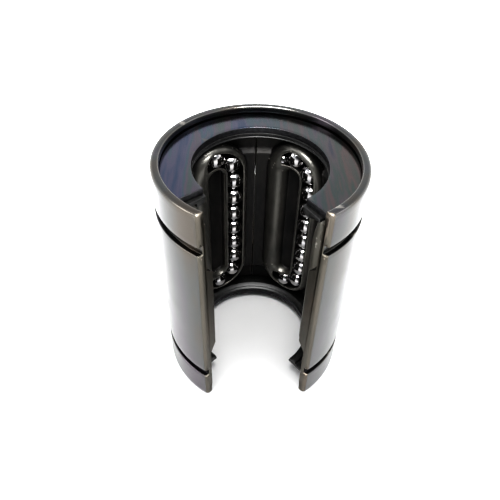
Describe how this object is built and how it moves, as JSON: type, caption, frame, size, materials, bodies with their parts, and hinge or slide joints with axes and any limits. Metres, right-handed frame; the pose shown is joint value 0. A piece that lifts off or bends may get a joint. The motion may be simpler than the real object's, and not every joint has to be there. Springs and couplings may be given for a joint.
{
  "type": "open linear ball bushing",
  "caption": "Slotted cylindrical linear bearing whose closed ball circuits run on a rail-supported round shaft.",
  "frame": {"origin": "on the bore axis at mid-length", "axes": "+Z along the bore towards the upper end, the slot faces -Y, +X to the right when looking into the slot"},
  "size_m": [0.032, 0.0291, 0.042],
  "materials": {
    "sleeve_steel": "hardened and ground, dark, glossy",
    "plate_steel": "blued spring steel, mirror-like",
    "retainer_steel": "black oxide, glossy",
    "seal_rubber": "moulded, semi-gloss",
    "ball_steel": "polished bearing steel"
  },
  "bodies": {
    "sleeve": {"outer_sleeve": "sleeve_steel", "upper_end_plate": "plate_steel", "lower_end_plate": "plate_steel", "upper_seal": "seal_rubber", "lower_seal": "seal_rubber", "retainer_segment_1": "retainer_steel", "retainer_segment_2": "retainer_steel", "retainer_segment_3": "retainer_steel", "retainer_segment_4": "retainer_steel"},
    "loaded_row_1": {"loaded_balls_1": "ball_steel"},
    "return_row_1": {"return_balls_1": "ball_steel"},
    "upper_turn_1": {"upper_turn_balls_1": "ball_steel"},
    "lower_turn_1": {"lower_turn_balls_1": "ball_steel"},
    "loaded_row_2": {"loaded_balls_2": "ball_steel"},
    "return_row_2": {"return_balls_2": "ball_steel"},
    "upper_turn_2": {"upper_turn_balls_2": "ball_steel"},
    "lower_turn_2": {"lower_turn_balls_2": "ball_steel"},
    "loaded_row_3": {"loaded_balls_3": "ball_steel"},
    "return_row_3": {"return_balls_3": "ball_steel"},
    "upper_turn_3": {"upper_turn_balls_3": "ball_steel"},
    "lower_turn_3": {"lower_turn_balls_3": "ball_steel"},
    "loaded_row_4": {"loaded_balls_4": "ball_steel"},
    "return_row_4": {"return_balls_4": "ball_steel"},
    "upper_turn_4": {"upper_turn_balls_4": "ball_steel"},
    "lower_turn_4": {"lower_turn_balls_4": "ball_steel"}
  },
  "joints": [
    {"name": "loaded_travel_1", "type": "slide", "parent": "sleeve", "child": "loaded_row_1", "axis": [0, 0, 1], "range_m": [-0.0018, 0.0018]},
    {"name": "return_travel_1", "type": "slide", "parent": "sleeve", "child": "return_row_1", "axis": [0, 0, 1], "range_m": [-0.0018, 0.0018]},
    {"name": "upper_turn_spin_1", "type": "hinge", "parent": "sleeve", "child": "upper_turn_1", "pos_m": [-0.01119, -0.0038, 0.0108], "axis": [0.9863, 0.1647, 0], "range_deg": [-30, 30]},
    {"name": "lower_turn_spin_1", "type": "hinge", "parent": "sleeve", "child": "lower_turn_1", "pos_m": [-0.01119, -0.0038, -0.0108], "axis": [0.9863, 0.1647, 0], "range_deg": [-30, 30]},
    {"name": "loaded_travel_2", "type": "slide", "parent": "sleeve", "child": "loaded_row_2", "axis": [0, 0, 1], "range_m": [-0.0018, 0.0018]},
    {"name": "return_travel_2", "type": "slide", "parent": "sleeve", "child": "return_row_2", "axis": [0, 0, 1], "range_m": [-0.0018, 0.0018]},
    {"name": "upper_turn_spin_2", "type": "hinge", "parent": "sleeve", "child": "upper_turn_2", "pos_m": [-0.00708, 0.00947, 0.0108], "axis": [0.4614, -0.8872, 0], "range_deg": [-30, 30]},
    {"name": "lower_turn_spin_2", "type": "hinge", "parent": "sleeve", "child": "lower_turn_2", "pos_m": [-0.00708, 0.00947, -0.0108], "axis": [0.4614, -0.8872, 0], "range_deg": [-30, 30]},
    {"name": "loaded_travel_3", "type": "slide", "parent": "sleeve", "child": "loaded_row_3", "axis": [0, 0, 1], "range_m": [-0.0018, 0.0018]},
    {"name": "return_travel_3", "type": "slide", "parent": "sleeve", "child": "return_row_3", "axis": [0, 0, 1], "range_m": [-0.0018, 0.0018]},
    {"name": "upper_turn_spin_3", "type": "hinge", "parent": "sleeve", "child": "upper_turn_3", "pos_m": [0.00682, 0.00966, 0.0108], "axis": [-0.7012, -0.713, 0], "range_deg": [-30, 30]},
    {"name": "lower_turn_spin_3", "type": "hinge", "parent": "sleeve", "child": "lower_turn_3", "pos_m": [0.00682, 0.00966, -0.0108], "axis": [-0.7012, -0.713, 0], "range_deg": [-30, 30]},
    {"name": "loaded_travel_4", "type": "slide", "parent": "sleeve", "child": "loaded_row_4", "axis": [0, 0, 1], "range_m": [-0.0018, 0.0018]},
    {"name": "return_travel_4", "type": "slide", "parent": "sleeve", "child": "return_row_4", "axis": [0, 0, 1], "range_m": [-0.0018, 0.0018]},
    {"name": "upper_turn_spin_4", "type": "hinge", "parent": "sleeve", "child": "upper_turn_4", "pos_m": [0.01129, -0.0035, 0.0108], "axis": [-0.8948, 0.4465, 0], "range_deg": [-30, 30]},
    {"name": "lower_turn_spin_4", "type": "hinge", "parent": "sleeve", "child": "lower_turn_4", "pos_m": [0.01129, -0.0035, -0.0108], "axis": [-0.8948, 0.4465, 0], "range_deg": [-30, 30]}
  ],
  "couplings": [
    {"joint": "upper_turn_spin_1", "follows": "loaded_travel_1", "rad_per_m": 290.89},
    {"joint": "lower_turn_spin_1", "follows": "loaded_travel_1", "rad_per_m": 290.89},
    {"joint": "return_travel_1", "follows": "loaded_travel_1", "ratio": -1},
    {"joint": "upper_turn_spin_2", "follows": "loaded_travel_2", "rad_per_m": 290.89},
    {"joint": "lower_turn_spin_2", "follows": "loaded_travel_2", "rad_per_m": 290.89},
    {"joint": "return_travel_2", "follows": "loaded_travel_2", "ratio": -1},
    {"joint": "upper_turn_spin_3", "follows": "loaded_travel_3", "rad_per_m": 290.89},
    {"joint": "lower_turn_spin_3", "follows": "loaded_travel_3", "rad_per_m": 290.89},
    {"joint": "return_travel_3", "follows": "loaded_travel_3", "ratio": -1},
    {"joint": "upper_turn_spin_4", "follows": "loaded_travel_4", "rad_per_m": 290.89},
    {"joint": "lower_turn_spin_4", "follows": "loaded_travel_4", "rad_per_m": 290.89},
    {"joint": "return_travel_4", "follows": "loaded_travel_4", "ratio": -1}
  ]
}
